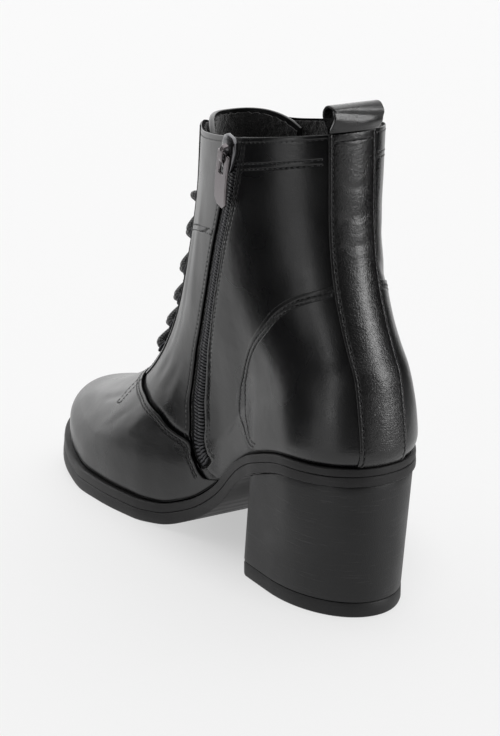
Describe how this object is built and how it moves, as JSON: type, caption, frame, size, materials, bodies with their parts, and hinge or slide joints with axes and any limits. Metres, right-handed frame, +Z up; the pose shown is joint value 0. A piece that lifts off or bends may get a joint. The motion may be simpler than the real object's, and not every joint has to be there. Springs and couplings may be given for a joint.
{
  "type": "lace-up ankle boot",
  "caption": "Black leather lace-up ankle boot on a block heel: hollow upper, tongue, inner side zip with a pull tab, backstay with pull loop, moulded sole.",
  "frame": {"origin": "on the floor, under the middle of the bounding box", "axes": "+X to the toe, +Y to the inner side of the foot, where the zip is, +Z up"},
  "size_m": [0.2428, 0.088, 0.2073],
  "materials": {
    "overlay_leather": "glossy",
    "eyelet_metal": "satin",
    "heel_plastic": "satin",
    "lining_textile": "matte",
    "lace_cord": "matte",
    "moulded_rubber": "matte",
    "tongue_leather": "satin",
    "lift_rubber": "matte",
    "smooth_leather": "glossy",
    "zip_nylon": "satin",
    "pull_metal": "dark nickel, polished",
    "zip_metal": "gunmetal, polished",
    "zip_textile": "matte"
  },
  "bodies": {
    "boot": {"backstay": "overlay_leather", "counter_inner": "overlay_leather", "counter_outer": "overlay_leather", "eyelet_inner_1": "eyelet_metal", "eyelet_inner_2": "eyelet_metal", "eyelet_inner_3": "eyelet_metal", "eyelet_inner_4": "eyelet_metal", "eyelet_inner_5": "eyelet_metal", "eyelet_inner_6": "eyelet_metal", "eyelet_outer_1": "eyelet_metal", "eyelet_outer_2": "eyelet_metal", "eyelet_outer_3": "eyelet_metal", "eyelet_outer_4": "eyelet_metal", "eyelet_outer_5": "eyelet_metal", "eyelet_outer_6": "eyelet_metal", "eyestay_inner": "overlay_leather", "eyestay_outer": "overlay_leather", "heel_block": "heel_plastic", "insole": "lining_textile", "lace": "lace_cord", "midsole": "moulded_rubber", "outsole": "moulded_rubber", "pull_loop": "overlay_leather", "tongue": "tongue_leather", "top_lift": "lift_rubber", "upper": "smooth_leather", "vamp": "overlay_leather", "zip_coil": "zip_nylon", "zip_slider": "zip_metal", "zip_tape": "zip_textile"},
    "pull": {"zip_pull": "pull_metal"}
  },
  "joints": [
    {"name": "pull_hinge", "type": "hinge", "parent": "boot", "child": "pull", "pos_m": [-0.05235, 0.03479, 0.18137], "axis": [0.9684, -0.0199, 0.2485], "range_deg": [0, 150]}
  ]
}
